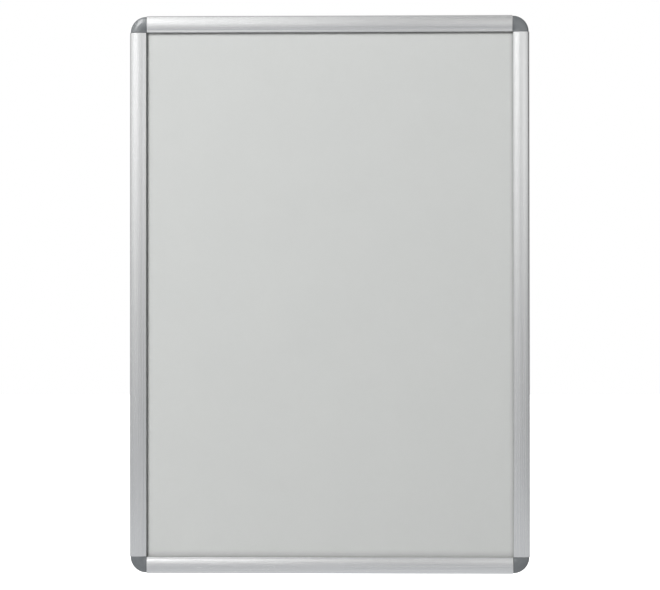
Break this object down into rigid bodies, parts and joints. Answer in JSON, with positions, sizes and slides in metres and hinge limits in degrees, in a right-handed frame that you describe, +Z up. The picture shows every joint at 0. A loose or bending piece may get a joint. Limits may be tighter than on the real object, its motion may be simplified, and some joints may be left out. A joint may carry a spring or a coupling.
{
  "type": "poster frame",
  "caption": "Upright front-loading snap frame for a wall poster: domed aluminium rails that hinge open, round plastic corner caps, clear cover sheet over a board.",
  "frame": {"origin": "on the wall face of the top base rail, at the middle of its length and of the 26 mm rail width", "axes": "+Z up along the long side, +Y into the wall, +X to the right for someone facing the frame"},
  "size_m": [0.624, 0.0125, 0.871],
  "materials": {
    "satin_aluminium": "satin anodised, fine lines along the profile",
    "mill_aluminium": "plain extruded aluminium",
    "grey_plastic": "fine satin moulding, mid grey",
    "zinc_plated_steel": "bright zinc plating",
    "spring_steel": "rolled spring strip",
    "plated_screw": "zinc-plated screw",
    "pale_board": "smooth polystyrene board, pale grey",
    "matt_clear_sheet": "clear sheet with an anti-glare matt face"
  },
  "bodies": {
    "frame": {"base_rail_top": "mill_aluminium", "base_rail_bottom": "mill_aluminium", "base_rail_left": "mill_aluminium", "base_rail_right": "mill_aluminium", "corner_cap_top_left": "grey_plastic", "corner_cap_top_right": "grey_plastic", "corner_cap_bottom_left": "grey_plastic", "corner_cap_bottom_right": "grey_plastic", "corner_key_top_left": "zinc_plated_steel", "corner_key_top_right": "zinc_plated_steel", "corner_key_bottom_left": "zinc_plated_steel", "corner_key_bottom_right": "zinc_plated_steel", "cap_screw_top_left": "plated_screw", "cap_screw_top_right": "plated_screw", "cap_screw_bottom_left": "plated_screw", "cap_screw_bottom_right": "plated_screw", "key_screw_top_left_1": "plated_screw", "key_screw_top_left_2": "plated_screw", "key_screw_top_right_1": "plated_screw", "key_screw_top_right_2": "plated_screw", "key_screw_bottom_left_1": "plated_screw", "key_screw_bottom_left_2": "plated_screw", "key_screw_bottom_right_1": "plated_screw", "key_screw_bottom_right_2": "plated_screw", "leaf_spring_top_1": "spring_steel", "leaf_spring_top_2": "spring_steel", "leaf_spring_bottom_1": "spring_steel", "leaf_spring_bottom_2": "spring_steel", "leaf_spring_left_1": "spring_steel", "leaf_spring_left_2": "spring_steel", "leaf_spring_left_3": "spring_steel", "leaf_spring_right_1": "spring_steel", "leaf_spring_right_2": "spring_steel", "leaf_spring_right_3": "spring_steel", "back_panel": "pale_board", "cover_sheet": "matt_clear_sheet"},
    "top_rail": {"snap_rail_top": "satin_aluminium"},
    "bottom_rail": {"snap_rail_bottom": "satin_aluminium"},
    "left_rail": {"snap_rail_left": "satin_aluminium"},
    "right_rail": {"snap_rail_right": "satin_aluminium"}
  },
  "joints": [
    {"name": "top_rail_hinge", "type": "hinge", "parent": "frame", "child": "top_rail", "pos_m": [0, -0.0032, 0.0113], "axis": [-1, 0, 0], "range_deg": [0, 95], "deforming": ["leaf_spring_top_1", "leaf_spring_top_2"]},
    {"name": "bottom_rail_hinge", "type": "hinge", "parent": "frame", "child": "bottom_rail", "pos_m": [0, -0.0032, -0.8563], "axis": [1, 0, 0], "range_deg": [0, 95], "deforming": ["leaf_spring_bottom_1", "leaf_spring_bottom_2"]},
    {"name": "left_rail_hinge", "type": "hinge", "parent": "frame", "child": "left_rail", "pos_m": [-0.3103, -0.0032, -0.4225], "axis": [0, 0, -1], "range_deg": [0, 95], "deforming": ["leaf_spring_left_1", "leaf_spring_left_2", "leaf_spring_left_3"]},
    {"name": "right_rail_hinge", "type": "hinge", "parent": "frame", "child": "right_rail", "pos_m": [0.3103, -0.0032, -0.4225], "axis": [0, 0, 1], "range_deg": [0, 95], "deforming": ["leaf_spring_right_1", "leaf_spring_right_2", "leaf_spring_right_3"]}
  ]
}
